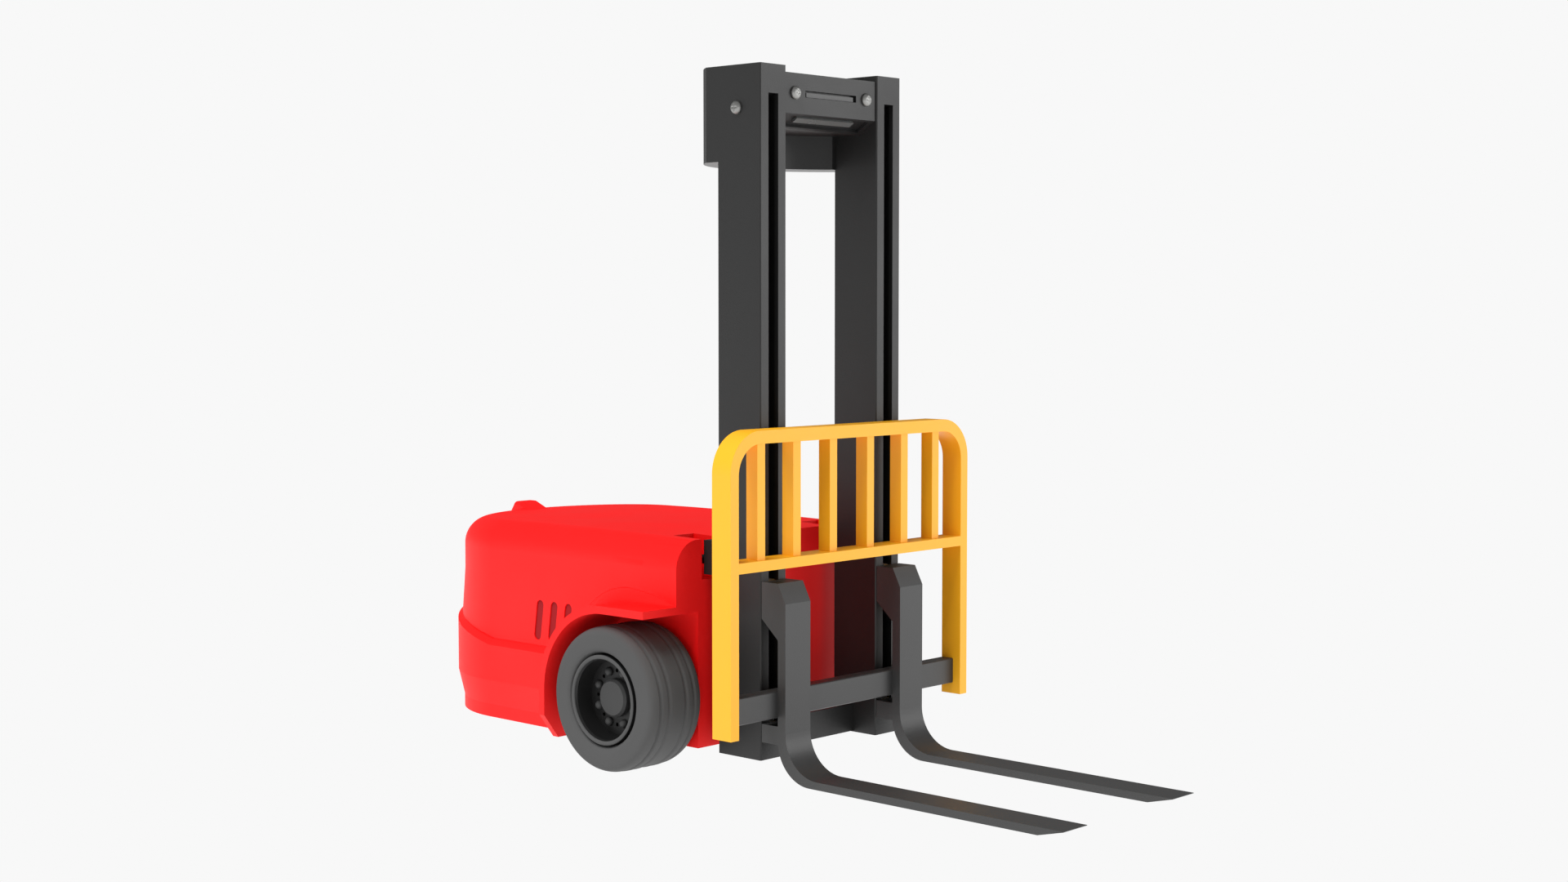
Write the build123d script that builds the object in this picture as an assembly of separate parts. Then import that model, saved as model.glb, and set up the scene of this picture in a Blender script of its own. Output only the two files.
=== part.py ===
from build123d import *
import math
import os

# Toy forklift, 1:10 class. Millimetres. Modelled with y = 0 on the mast's front face, the forks towards -Y,
# the vehicle's left towards +X and z = 0 on the floor. The last section moves everything so that the origin
# is at the middle of the footprint.

# ---- mast ----
MAST_HEIGHT = 200.0
MAST_WIDTH = 61.7
MAST_FOOT_Z = 5.6
COLUMN_WIDTH = 10.8
COLUMN_DEPTH = 16.8
COLUMN_WALL = 1.6
SLOT_WIDTH = 4.1
SLOT_FOOT = 5.2
SLOT_HEAD = 8.3
BEAM_SETBACK = 0.6
BEAM_DEPTH = 16.2
BEAM_TOP_DROP = 1.8
BEAM_HEIGHT = 11.7
BEAM_UNDERCUT = 3.8
BEAM_SLANT_DEPTH = 6.1
HEAD_HEIGHT = 27.4
HEAD_REACH = 38.4
HEAD_SIDE_DEPTH = 4.8
HEAD_DRUM_RADIUS = 24.0
HEAD_DRUM_Y = 1.9
HEAD_WALL = 1.6
TIE_FRONT_Y = 9.0
TIE_DEPTH = 6.0
TIE_HEIGHT = 8.4

# ---- carriage ----
FORK_WIDTH = 10.6
FORK_REACH = 106.5
FORK_THICKNESS = 2.95
BLADE_THICKNESS = 2.2
BLADE_TIP_RISE = 8.2
FORK_BEND_RADIUS = 12.0
FORK_FRONT_GAP = 9.6
FORK_FLOOR_GAP = 0.3
ARM_TOP_Z = 57.65
ARM_HEIGHT = 10.65
ARM_SLOPE = 5.7
LOWER_ARM_Z = 11.1
LOWER_ARM_HEIGHT = 5.35
BAR_Z = 18.9
BAR_HEIGHT = 7.75
BAR_DEPTH = 4.45
BACKREST_WIDTH = 105.7
BACKREST_TOP_Z = 101.9
BACKREST_FOOT_Z = 15.55
BACKREST_TUBE = 3.25
BACKREST_RAIL = 3.7
BACKREST_DEPTH = 7.25
BACKREST_RADIUS = 12.0
CROSS_RAIL_Z = 62.2
CROSS_RAIL_HEIGHT = 3.0
GRILLE_BAR_WIDTH = 3.15
GRILLE_BAR_DEPTH = 4.3
GRILLE_BAR_SETBACK = 1.55
GRILLE_BAR_X = (8.3, 24.0, 38.9)

# ---- body ----
BODY_FRONT_Y = 22.7
BODY_FLOOR_Z = 6.5
BODY_WALL = 2.2
FRONT_BOX_WIDTH = 67.4
HOOD_WIDTH = 85.2
HOOD_FRONT_Z = 68.2
HOOD_CROWN = 0.7
HOOD_REAR_Z = 67.4
HOOD_SIDE_RADIUS = 8.5
HOOD_TAIL = 38.0
TAIL_CENTRE_Y = 107.0
BUMPER_WIDTH = 89.4
BUMPER_TAIL = 41.0
BUMPER_FOOT_INSET = 1.5
BUMPER_FOOT_TAPER = 2.6
BUMPER_FOOT_HEIGHT = 4.0
BUMPER_FOOT_RISE = 12.0
LEDGE_RIM = 4.4
HOOD_FOOT_Z = 31.5
HOOD_FOOT_SLOPE = 0.21
LEDGE_WIDTH = 1.7
LEDGE_BEND_Y = 105.0
HOOD_FLARE = 4.1
HOOD_FLARE_Z = 52.0
HOOD_FLARE_HEIGHT = 24.0
NOTCH_WIDTH = 8.4
NOTCH_OUTER_X = 32.0
NOTCH_LENGTH = 11.9
NOTCH_DEPTH = 11.8
VENT_WIDTH = 3.1
VENT_LENGTH = 12.6
VENT_PITCH = 6.5
VENT_LEAN = 8.0
VENT_Y = 83.5
VENT_Z = 39.6
SCOOP_LENGTH = 12.6
SCOOP_WIDTH = 8.0
SCOOP_HEIGHT = 2.2
SCOOP_ROUNDING = 1.4
SCOOP_REAR_Y = 143.2
BASE_THICKNESS = 2.0
FENDER_THICKNESS = 2.3
FENDER_CLEARANCE = 3.8

# ---- front wheels ----
WHEEL_RADIUS = 21.6
WHEEL_Y = 40.4
TYRE_WIDTH = 21.0
WHEEL_TRACK_OUTER = 112.0
RIM_RADIUS = 13.3
RIM_OPENING = 11.75
RIM_RECESS = 6.3
HUB_CAP_RADIUS = 5.7
HUB_CAP_HEIGHT = 2.2
NUT_CIRCLE = 8.05
NUT_RADIUS = 1.15
NUT_COUNT = 8
AXLE_RADIUS = 1.5
TREAD_GROOVES = 5

# ---- rear swivel wheel ----
SWIVEL_Y = 112.0
SWIVEL_TRAIL = 7.0
REAR_WHEEL_RADIUS = 11.0
REAR_WHEEL_WIDTH = 7.5
REAR_AXLE_RADIUS = 1.25
YOKE_WIDTH = 6.0

# ---- fits ----
RUNNING = 0.05
SLIDING = 0.25
MATING = 0.05
PANEL_GAP = 0.3
TILT_PIVOT_Y = 19.7
TILT_PIVOT_Z = 10.6
PIN_RADIUS = 1.5
SCREW_HEAD_RADIUS = 2.0

HALF_MAST = MAST_WIDTH / 2
COLUMN_X = HALF_MAST - COLUMN_WIDTH / 2
COLUMN_INNER_X = HALF_MAST - COLUMN_WIDTH
MAST_TOP_Z = MAST_FOOT_Z + MAST_HEIGHT
BEAM_TOP_Z = MAST_TOP_Z - BEAM_TOP_DROP
BEAM_FOOT_Z = BEAM_TOP_Z - BEAM_HEIGHT
FORK_FRONT_Y = -FORK_FRONT_GAP
SHANK_REAR_Y = FORK_FRONT_Y + FORK_THICKNESS
ARM_REAR_Y = -PANEL_GAP
HALF_BACKREST = BACKREST_WIDTH / 2
BACKREST_FRONT_Y = SHANK_REAR_Y - 2.8
BACKREST_REAR_Y = BACKREST_FRONT_Y + BACKREST_DEPTH
HALF_HOOD = HOOD_WIDTH / 2
HALF_BUMPER = BUMPER_WIDTH / 2
HALF_BOX = FRONT_BOX_WIDTH / 2
ARCH_RADIUS = WHEEL_RADIUS + FENDER_CLEARANCE
FENDER_TOP_Z = WHEEL_RADIUS + ARCH_RADIUS + FENDER_THICKNESS
ARCH_REAR_Y = WHEEL_Y + ARCH_RADIUS + FENDER_THICKNESS
TYRE_OUTER_X = WHEEL_TRACK_OUTER / 2
TYRE_INNER_X = TYRE_OUTER_X - TYRE_WIDTH
WEB_X = TYRE_OUTER_X - RIM_RECESS
SIDES = {"right": -1, "left": 1}

parts = {}


# ---- small helpers ----
def block(x0, x1, y0, y1, z0, z1):
    """Box between two corners."""
    return Pos((x0 + x1) / 2, (y0 + y1) / 2, (z0 + z1) / 2) * Box(abs(x1 - x0), abs(y1 - y0), abs(z1 - z0))


def rod_x(radius, x0, x1, y, z):
    return Pos((x0 + x1) / 2, y, z) * Rot(0, 90, 0) * Cylinder(radius, abs(x1 - x0))


def rod_y(radius, y0, y1, x, z):
    return Pos(x, (y0 + y1) / 2, z) * Rot(90, 0, 0) * Cylinder(radius, abs(y1 - y0))


def rod_z(radius, z0, z1, x, y):
    return Pos(x, y, (z0 + z1) / 2) * Cylinder(radius, abs(z1 - z0))


def mirrored(x0, x1, side):
    """Span in x for one side of the vehicle, lowest value first."""
    return min(side * x0, side * x1), max(side * x0, side * x1)


def side_slab(profile, x0, x1):
    """Extrudes a face drawn in y and z from x0 to x1."""
    return extrude(Plane.YZ.offset(x0) * profile, x1 - x0)


def outline_yz(*points):
    return make_face(Polyline(*points, close=True))


def domed_head(radius, height):
    """Screw head: a spherical cap of the given radius and height, standing on z = 0."""
    sphere_radius = (radius**2 + height**2) / (2 * height)
    cap = Pos(0, 0, height - sphere_radius) * Sphere(sphere_radius)
    return cap & block(-radius, radius, -radius, radius, 0, height)


def spun(profile):
    """Turns a face drawn with x along the axle and y as radius about the x axis."""
    return revolve(profile, Axis.X, 360)


# ---- mast ----
def mast_column(side):
    """Box-section column with a full-length front slot into the channel where the guide shoes run."""
    x0, x1 = mirrored(COLUMN_INNER_X, HALF_MAST, side)
    body = block(x0, x1, 0, COLUMN_DEPTH, MAST_FOOT_Z, MAST_TOP_Z)
    body = chamfer(body.edges().filter_by(Axis.Z).sort_by(Axis.Y)[:2], 0.3)
    slot_z0, slot_z1 = MAST_FOOT_Z + SLOT_FOOT, MAST_TOP_Z - SLOT_HEAD
    cavity = block(
        x0 + COLUMN_WALL, x1 - COLUMN_WALL, COLUMN_WALL, COLUMN_DEPTH - COLUMN_WALL, slot_z0, slot_z1
    )
    x_mid, half = side * COLUMN_X, SLOT_WIDTH / 2
    slot = block(x_mid - half, x_mid + half, -1, COLUMN_WALL + 1, slot_z0, slot_z1)
    screw_hole = rod_x(SIDE_SCREW_SHANK, x0 - 1, x1 + 1, SIDE_SCREW_Y, SIDE_SCREW_Z)
    return body - cavity - slot - screw_hole


SIDE_SCREW_Y = 9.3
SIDE_SCREW_Z = MAST_FOOT_Z + 187.8
SIDE_SCREW_SHANK = 0.8
BEAM_SCREW_X = 15.6
BEAM_SCREW_Z = MAST_FOOT_Z + 192.5
SCREW_HEAD_HEIGHT = 1.4
BEAM_SLOT_LENGTH = 22.4
BEAM_SLOT_HEIGHT = 2.0
BEAM_SLOT_DEPTH = 1.4
INLAY_HEIGHT = 1.3
INLAY_LENGTH = 20.6
TRAY_DEPTH = 1.0
TRAY_MARGIN = 0.9
SLANT_LENGTH = math.hypot(BEAM_UNDERCUT, BEAM_SLANT_DEPTH)
LENS_ALONG = 2.3
LENS_WIDTH = 2.1
LENS_SUNK = 0.25
LENS_LENGTH = 25.0


def beam_profile():
    """Side view of the beam: a flat front, a slant under it and a flat bottom behind the slant."""
    front, rear = BEAM_SETBACK, BEAM_SETBACK + BEAM_DEPTH
    bottom_z = BEAM_FOOT_Z - BEAM_UNDERCUT
    return outline_yz(
        (front, BEAM_FOOT_Z),
        (front, BEAM_TOP_Z),
        (rear, BEAM_TOP_Z),
        (rear, bottom_z),
        (front + BEAM_SLANT_DEPTH, bottom_z),
    )


def slant_block(along0, along1, depth0, depth1, half_width):
    """Box on the beam's slant: along runs down the slant from its front edge, depth runs into the beam."""
    angle = math.degrees(math.atan2(BEAM_UNDERCUT, BEAM_SLANT_DEPTH))
    shape = block(-half_width, half_width, along0, along1, depth0, depth1)
    return Pos(0, BEAM_SETBACK, BEAM_FOOT_Z) * Rot(-angle, 0, 0) * shape


def top_beam():
    """Cross beam between the column heads, with a slot in its face and a tray in its underside."""
    beam = side_slab(beam_profile(), -COLUMN_INNER_X, COLUMN_INNER_X)
    front = BEAM_SETBACK
    slot_z = BEAM_SCREW_Z - 0.1
    slot = block(
        -BEAM_SLOT_LENGTH / 2,
        BEAM_SLOT_LENGTH / 2,
        front - 1,
        front + BEAM_SLOT_DEPTH,
        slot_z - BEAM_SLOT_HEIGHT / 2,
        slot_z + BEAM_SLOT_HEIGHT / 2,
    )
    tray = slant_block(TRAY_MARGIN, SLANT_LENGTH - TRAY_MARGIN, -1, TRAY_DEPTH, COLUMN_INNER_X - 2.2)
    beam = beam - slot - tray
    for side in SIDES.values():
        beam -= rod_y(SIDE_SCREW_SHANK, front - 1, front + 6, side * BEAM_SCREW_X, BEAM_SCREW_Z)
        x0, x1 = mirrored(COLUMN_INNER_X - 5, COLUMN_INNER_X + 1, side)
        beam -= rod_x(SIDE_SCREW_SHANK, x0, x1, SIDE_SCREW_Y, SIDE_SCREW_Z)
    return beam


def beam_inlay():
    """Thin bar pressed into the bottom of the beam's slot."""
    slot_z = BEAM_SCREW_Z - 0.1
    return block(
        -INLAY_LENGTH / 2,
        INLAY_LENGTH / 2,
        BEAM_SETBACK + 0.45,
        BEAM_SETBACK + BEAM_SLOT_DEPTH,
        slot_z - INLAY_HEIGHT / 2 - 0.2,
        slot_z + INLAY_HEIGHT / 2 - 0.2,
    )


def work_light_lens():
    """Long lens lying in the tray of the beam's slant."""
    return slant_block(LENS_ALONG, LENS_ALONG + LENS_WIDTH, LENS_SUNK, TRAY_DEPTH, LENS_LENGTH / 2)


def beam_screws():
    """Two domed screws in the beam's front."""
    screws = []
    for side in SIDES.values():
        head = Pos(side * BEAM_SCREW_X, BEAM_SETBACK, BEAM_SCREW_Z) * Rot(90, 0, 0) * domed_head(
            SCREW_HEAD_RADIUS, SCREW_HEAD_HEIGHT
        )
        y1 = BEAM_SETBACK + 5.5
        shank = rod_y(SIDE_SCREW_SHANK - 0.02, BEAM_SETBACK, y1, side * BEAM_SCREW_X, BEAM_SCREW_Z)
        screws.append(head + shank)
    return screws


def side_screws():
    """Domed screws through each column's outer wall into the beam's ends."""
    screws = []
    for side in SIDES.values():
        head = Pos(side * HALF_MAST, SIDE_SCREW_Y, SIDE_SCREW_Z) * Rot(0, 90 * side, 0) * domed_head(
            SCREW_HEAD_RADIUS, SCREW_HEAD_HEIGHT
        )
        x0, x1 = mirrored(COLUMN_INNER_X - 4.5, HALF_MAST, side)
        shank = rod_x(SIDE_SCREW_SHANK - 0.02, x0, x1, SIDE_SCREW_Y, SIDE_SCREW_Z)
        screws.append(head + shank)
    return screws


def head_plan(inset):
    """Plan of the housing behind the columns: straight sides, then an arc across the back."""
    half = HALF_MAST - inset
    y0 = COLUMN_DEPTH + inset
    y1 = COLUMN_DEPTH + HEAD_SIDE_DEPTH
    back = HEAD_REACH - inset
    edges = [
        Line((-half, y1), (-half, y0)),
        Line((-half, y0), (half, y0)),
        Line((half, y0), (half, y1)),
        ThreePointArc((half, y1), (0, back), (-half, y1)),
    ]
    return make_face(edges)


def drum_plan(radius):
    return Pos(0, HEAD_DRUM_Y) * Circle(radius)


def mast_head_cover():
    """Curved housing behind the mast head: an outer skin, an inner drum wall and a floor between them."""
    z0, z1 = MAST_TOP_Z - HEAD_HEIGHT, MAST_TOP_Z - HEAD_WALL
    outer = extrude(Pos(0, 0, z0) * (head_plan(0) - drum_plan(HEAD_DRUM_RADIUS)), z1 - z0)
    hollow_plan = head_plan(HEAD_WALL) - drum_plan(HEAD_DRUM_RADIUS + HEAD_WALL)
    hollow = extrude(Pos(0, 0, z0 + HEAD_WALL) * hollow_plan, z1 - z0)
    return outer - hollow


def mast_head_lid():
    """Lid flush with the column tops, with a hollow plug that fills the drum down to the beam's bottom."""
    z1 = MAST_TOP_Z - HEAD_WALL
    z0 = BEAM_FOOT_Z - BEAM_UNDERCUT
    lid = extrude(Pos(0, 0, z1) * head_plan(0), HEAD_WALL)
    plug_plan = head_plan(MATING) & drum_plan(HEAD_DRUM_RADIUS - MATING)
    hollow_plan = head_plan(HEAD_WALL) & drum_plan(HEAD_DRUM_RADIUS - HEAD_WALL)
    plug = extrude(Pos(0, 0, z0) * plug_plan, z1 - z0)
    return lid + (plug - extrude(Pos(0, 0, z0 + HEAD_WALL) * hollow_plan, z1 - z0 - HEAD_WALL))


def bottom_tie():
    """Cross tie between the column feet, with two ears for the mast's pivot pin."""
    z0 = MAST_FOOT_Z + 0.3
    tie = block(-COLUMN_INNER_X, COLUMN_INNER_X, TIE_FRONT_Y, TIE_FRONT_Y + TIE_DEPTH, z0, z0 + TIE_HEIGHT)
    for side in SIDES.values():
        x0, x1 = mirrored(EAR_INNER_X, EAR_INNER_X + EAR_WIDTH, side)
        y0 = TIE_FRONT_Y + TIE_DEPTH - 0.5
        ear = block(x0, x1, y0, TILT_PIVOT_Y, TILT_PIVOT_Z - EAR_RADIUS, TILT_PIVOT_Z + EAR_RADIUS)
        ear += rod_x(EAR_RADIUS, x0, x1, TILT_PIVOT_Y, TILT_PIVOT_Z)
        tie += ear
    return tie - rod_x(PIN_RADIUS + RUNNING, -COLUMN_INNER_X, COLUMN_INNER_X, TILT_PIVOT_Y, TILT_PIVOT_Z)


EAR_INNER_X = 13.0
EAR_WIDTH = 4.0
EAR_RADIUS = 2.6
BRACKET_WIDTH = 6.8
BRACKET_HEIGHT = 10.1
BRACKET_TOP_GAP = 0.2
BRACKET_DEPTH = 6.2
ROD_RADIUS = 1.4
ROD_DROP = 6.2
ROD_REACH = 18.2
NOTCH_WALL = 1.6
STOP_RADIUS = 2.6


def bracket_x(side):
    return mirrored(HALF_MAST, HALF_MAST - BRACKET_WIDTH, side)


def tilt_bracket(side):
    """Block on the column's rear that reaches into the hood's notch."""
    x0, x1 = bracket_x(side)
    z1 = HOOD_FRONT_Z - BRACKET_TOP_GAP
    z0 = z1 - BRACKET_HEIGHT
    body = block(x0, x1, COLUMN_DEPTH, COLUMN_DEPTH + BRACKET_DEPTH, z0, z1)
    x = (x0 + x1) / 2
    return body - rod_y(ROD_RADIUS, COLUMN_DEPTH + 2, COLUMN_DEPTH + BRACKET_DEPTH + 1, x, z1 - ROD_DROP)


def tilt_rod(side):
    """Steel rod pressed into the bracket, ending inside the hood in a stop ring."""
    x = sum(bracket_x(side)) / 2
    z = HOOD_FRONT_Z - BRACKET_TOP_GAP - ROD_DROP
    return rod_y(ROD_RADIUS, COLUMN_DEPTH + 2, COLUMN_DEPTH + BRACKET_DEPTH + ROD_REACH, x, z)


def tilt_stop_rings():
    """Rings clipped on the rods, which end the forward tilt."""
    rings = []
    for side in SIDES.values():
        x = sum(bracket_x(side)) / 2
        z = HOOD_FRONT_Z - BRACKET_TOP_GAP - ROD_DROP
        y1 = COLUMN_DEPTH + BRACKET_DEPTH + ROD_REACH - 0.6
        rings.append(rod_y(STOP_RADIUS, y1 - 1.2, y1, x, z) - rod_y(ROD_RADIUS, y1 - 2, y1 + 1, x, z))
    return rings


# ---- carriage ----
FORK_X = COLUMN_X
SHOE_WIDTH = SLOT_WIDTH - 2 * SLIDING
SHOE_HEAD_WIDTH = COLUMN_WIDTH - 2 * COLUMN_WALL - 2 * SLIDING
SHOE_HEAD_DEPTH = 3.4
SHOE_TENON = 2.0
SHOE_MARGIN = 0.2


def fork_side_profile():
    """Side view of a fork: blade, bend, shank and the two arms that reach back to the column."""
    tip_y = -FORK_REACH
    z0, z1 = FORK_FLOOR_GAP, FORK_FLOOR_GAP + BLADE_THICKNESS
    bent = outline_yz(
        (tip_y, z1),
        (FORK_FRONT_Y, z1),
        (FORK_FRONT_Y, ARM_TOP_Z - ARM_SLOPE),
        (SHANK_REAR_Y, ARM_TOP_Z),
        (SHANK_REAR_Y, z0),
        (tip_y + BLADE_TIP_RISE, z0),
        (tip_y, z1 - 0.15),
    )
    corners = [v for v in bent.vertices() if v.Y < z1 + 0.01 and v.X > FORK_FRONT_Y - 0.01]
    bent = fillet(corners, FORK_BEND_RADIUS)
    arm_z0 = ARM_TOP_Z - ARM_HEIGHT
    inside_y = SHANK_REAR_Y - 1.0
    upper = outline_yz(
        (inside_y, ARM_TOP_Z - ARM_SLOPE),
        (SHANK_REAR_Y, ARM_TOP_Z),
        (ARM_REAR_Y, ARM_TOP_Z),
        (ARM_REAR_Y, arm_z0),
        (SHANK_REAR_Y, arm_z0 - ARM_SLOPE),
        (inside_y, arm_z0 - ARM_SLOPE),
    )
    lower_z1 = LOWER_ARM_Z + LOWER_ARM_HEIGHT
    lower = outline_yz(
        (inside_y, LOWER_ARM_Z), (ARM_REAR_Y, LOWER_ARM_Z), (ARM_REAR_Y, lower_z1), (inside_y, lower_z1)
    )
    return bent + upper + lower


def fork(side):
    """Fork cut from one profile, with pockets for the guide shoes' tenons and the fork screws."""
    x0, x1 = side * FORK_X - FORK_WIDTH / 2, side * FORK_X + FORK_WIDTH / 2
    body = side_slab(fork_side_profile(), x0, x1)
    half = SHOE_WIDTH / 2 + MATING
    for z0, z1 in shoe_spans():
        x_mid, y0 = side * FORK_X, ARM_REAR_Y - SHOE_TENON
        body -= block(x_mid - half, x_mid + half, y0, ARM_REAR_Y + 1, z0 - MATING, z1 + MATING)
    for x, z in fork_screw_places(side):
        body -= rod_y(FORK_SCREW_SHANK, SHANK_REAR_Y - 2.2, SHANK_REAR_Y + 1, x, z)
    return body


FORK_SCREW_SHANK = 0.8
FORK_SCREW_SPREAD = 2.7


def fork_screw_places(side):
    z = BAR_Z + BAR_HEIGHT / 2
    return [(side * FORK_X + dx, z) for dx in (-FORK_SCREW_SPREAD, FORK_SCREW_SPREAD)]


def shoe_spans():
    """Heights of the upper and the lower guide shoe."""
    upper = (ARM_TOP_Z - ARM_HEIGHT + SHOE_MARGIN, ARM_TOP_Z - SHOE_MARGIN)
    lower = (LOWER_ARM_Z + SHOE_MARGIN, LOWER_ARM_Z + LOWER_ARM_HEIGHT - SHOE_MARGIN)
    return [upper, lower]


def guide_shoes(side):
    """T-shaped sliding shoes: a tenon in the arm, a neck in the slot and a head in the channel."""
    shoes = []
    for z0, z1 in shoe_spans():
        x = side * FORK_X
        half = SHOE_WIDTH / 2
        neck = block(x - half, x + half, ARM_REAR_Y - SHOE_TENON, COLUMN_WALL + SLIDING + 0.1, z0, z1)
        y0 = COLUMN_WALL + SLIDING
        head = block(x - SHOE_HEAD_WIDTH / 2, x + SHOE_HEAD_WIDTH / 2, y0, y0 + SHOE_HEAD_DEPTH, z0, z1)
        shoes.append(neck + head)
    return shoes


def carriage_bar():
    """Cross bar between the backrest's uprights, behind the fork shanks."""
    half = HALF_BACKREST - BACKREST_TUBE
    y0, y1 = SHANK_REAR_Y, SHANK_REAR_Y + BAR_DEPTH
    bar = block(-half, half, y0, y1, BAR_Z, BAR_Z + BAR_HEIGHT)
    bar = chamfer(bar.edges().filter_by(Axis.X), 0.25)
    reach = half + TENON_LENGTH
    z0, z1 = BAR_Z + TENON_SHOULDER, BAR_Z + BAR_HEIGHT - TENON_SHOULDER
    bar += block(-reach, reach, y0 + 1, y1 - 1, z0, z1)
    for side in SIDES.values():
        for x, z in fork_screw_places(side):
            bar -= rod_y(FORK_SCREW_SHANK, y0 - 1, y1 + 1, x, z)
    return bar


TENON_LENGTH = 1.6
TENON_SHOULDER = 1.6
FORK_SCREW_HEAD = 1.6
FORK_SCREW_HEAD_HEIGHT = 1.1


def fork_screws():
    """Screws from behind the bar into the fork shanks."""
    screws = []
    y1 = SHANK_REAR_Y + BAR_DEPTH
    for side in SIDES.values():
        for x, z in fork_screw_places(side):
            head = rod_y(FORK_SCREW_HEAD, y1, y1 + FORK_SCREW_HEAD_HEIGHT, x, z)
            screws.append(head + rod_y(FORK_SCREW_SHANK - 0.02, SHANK_REAR_Y - 2.0, y1, x, z))
    return screws


def arched_frame(half_width, top_z, foot_z, radius):
    """Front view of an upright frame with rounded upper corners."""
    height = top_z - foot_z
    shape = Pos(0, (top_z + foot_z) / 2) * Rectangle(2 * half_width, height)
    upper = shape.vertices().sort_by(Axis.Y)[-2:]
    return fillet(upper, radius)


def load_backrest():
    """Yellow frame: an inverted U with a cross rail and six grille bars."""
    outer = arched_frame(HALF_BACKREST, BACKREST_TOP_Z, BACKREST_FOOT_Z, BACKREST_RADIUS)
    inner = arched_frame(
        HALF_BACKREST - BACKREST_TUBE,
        BACKREST_TOP_Z - BACKREST_RAIL,
        BACKREST_FOOT_Z - 5,
        BACKREST_RADIUS - BACKREST_TUBE,
    )
    frame = extrude(Plane.XZ.offset(-BACKREST_REAR_Y) * (outer - inner), BACKREST_DEPTH)
    half = HALF_BACKREST - BACKREST_TUBE / 2
    frame += block(
        -half, half, BACKREST_FRONT_Y, BACKREST_REAR_Y, CROSS_RAIL_Z, CROSS_RAIL_Z + CROSS_RAIL_HEIGHT
    )
    y0 = BACKREST_FRONT_Y + GRILLE_BAR_SETBACK
    z0, z1 = CROSS_RAIL_Z + CROSS_RAIL_HEIGHT / 2, BACKREST_TOP_Z - BACKREST_RAIL / 2
    for x in GRILLE_BAR_X:
        for side in SIDES.values():
            x0, x1 = side * x - GRILLE_BAR_WIDTH / 2, side * x + GRILLE_BAR_WIDTH / 2
            frame += block(x0, x1, y0, y0 + GRILLE_BAR_DEPTH, z0, z1)
    y0, y1 = SHANK_REAR_Y + 1 - MATING, SHANK_REAR_Y + BAR_DEPTH - 1 + MATING
    socket_z0 = BAR_Z + TENON_SHOULDER - MATING
    socket_z1 = BAR_Z + BAR_HEIGHT - TENON_SHOULDER + MATING
    reach = HALF_BACKREST - BACKREST_TUBE + TENON_LENGTH + MATING
    return frame - block(-reach, reach, y0, y1, socket_z0, socket_z1)


# ---- body ----
def tail_plan(half_width, tail, front_y):
    """Plan outline: parallel sides from front_y, closed by half an ellipse at the rear."""
    edges = [
        Line((-half_width, TAIL_CENTRE_Y), (-half_width, front_y)),
        Line((-half_width, front_y), (half_width, front_y)),
        Line((half_width, front_y), (half_width, TAIL_CENTRE_Y)),
        EllipticalCenterArc((0, TAIL_CENTRE_Y), half_width, tail, start_angle=0, arc_size=180),
    ]
    return make_face(edges)


def below_hood():
    """Everything under the hood's foot, a line that runs level along the sides and climbs round the tail."""
    front, bend, far = BODY_FRONT_Y - 10, LEDGE_BEND_Y, TAIL_CENTRE_Y + 60
    z, far_z = HOOD_FOOT_Z, HOOD_FOOT_Z + HOOD_FOOT_SLOPE * (far - bend)
    return side_slab(outline_yz((front, -5), (front, z), (bend, z), (far, far_z), (far, -5)), -80, 80)


def outer_tail():
    """Solid tail up to the hood's foot, its top edge bevelled into a slanted ledge."""
    form = tail_form(0, ARCH_REAR_Y - 4, BODY_FLOOR_Z, HOOD_FRONT_Z) & below_hood()
    top = [e for e in form.edges() if e.center().Z > HOOD_FOOT_Z - 0.1]
    front_y = ARCH_REAR_Y - 4
    rim = [e for e in top if min(abs(e.center().Y - front_y), abs(e.center().Y - LEDGE_BEND_Y)) > 0.1]
    return chamfer(rim, LEDGE_WIDTH)


def arch_space(radius, x0, x1):
    """Wheel space: flat over the front, round over the wheel and straight down behind it."""
    top = WHEEL_RADIUS + radius
    space = rod_x(radius, x0, x1, WHEEL_Y, WHEEL_RADIUS)
    space += block(x0, x1, BODY_FRONT_Y - 30, WHEEL_Y, -5, top)
    return space + block(x0, x1, BODY_FRONT_Y - 30, WHEEL_Y + radius, -5, WHEEL_RADIUS)


def hood_form(inset):
    """Solid of the hood: plan outline, crowned top, rounded shoulders."""
    plan = tail_plan(HALF_HOOD - inset, HOOD_TAIL - inset, BODY_FRONT_Y + inset)
    body = extrude(plan, HOOD_FRONT_Z + 10)
    y0, y1 = BODY_FRONT_Y - 5, TAIL_CENTRE_Y + HOOD_TAIL + 5
    span = y1 - y0
    crown = ThreePointArc(
        (y0, HOOD_FRONT_Z - inset),
        (y0 + span * 0.45, HOOD_FRONT_Z + HOOD_CROWN - inset),
        (y1, HOOD_REAR_Z - inset),
    )
    edges = [
        crown,
        Line((y1, HOOD_REAR_Z - inset), (y1, -5)),
        Line((y1, -5), (y0, -5)),
        Line((y0, -5), (y0, HOOD_FRONT_Z - inset)),
    ]
    body = body & side_slab(make_face(edges), -80, 80)
    top = body.faces().sort_by(Axis.Z)[-1]
    rim = [e for e in top.edges() if e.center().Y > BODY_FRONT_Y + inset + 1]
    body = fillet(rim, HOOD_SIDE_RADIUS - inset)
    foot = tail_plan(HALF_HOOD - inset, HOOD_TAIL + HOOD_FLARE - inset, BODY_FRONT_Y + inset)
    skirt = [Pos(0, 0, HOOD_FLARE_Z - HOOD_FLARE_HEIGHT) * foot, Pos(0, 0, HOOD_FLARE_Z) * plan]
    return body + loft(skirt, ruled=True)


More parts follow.
